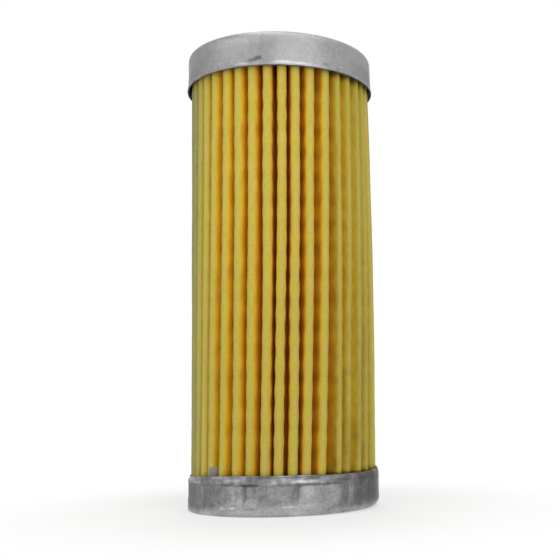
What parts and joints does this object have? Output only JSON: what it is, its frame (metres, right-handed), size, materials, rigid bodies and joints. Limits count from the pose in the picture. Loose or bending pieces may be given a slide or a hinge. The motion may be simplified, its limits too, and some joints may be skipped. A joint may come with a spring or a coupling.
{
  "type": "fuel filter element",
  "caption": "Cartridge fuel filter element: a ring of pleated paper potted into drawn metal end caps round a perforated centre tube, with a rubber grommet in the outlet.",
  "frame": {"origin": "centre of the bottom cap's flat face, on the element's axis", "axes": "+Z along the axis from the closed bottom cap to the outlet; the paper's glued seam is at the back, 1.4 degrees from +Y on the +X side"},
  "size_m": [0.035, 0.035, 0.0835],
  "materials": {
    "tinplate": "satin",
    "tube_tinplate": "satin",
    "filter_paper": "matte",
    "potting": "matte",
    "rubber": "matte",
    "seam_glue": "satin"
  },
  "bodies": {
    "root": {"top_end_cap": "tinplate", "bottom_end_cap": "tinplate", "pleated_media": "filter_paper", "seam_bond": "seam_glue", "centre_tube": "tube_tinplate", "top_potting": "potting", "bottom_potting": "potting", "outlet_grommet": "rubber"}
  },
  "joints": []
}
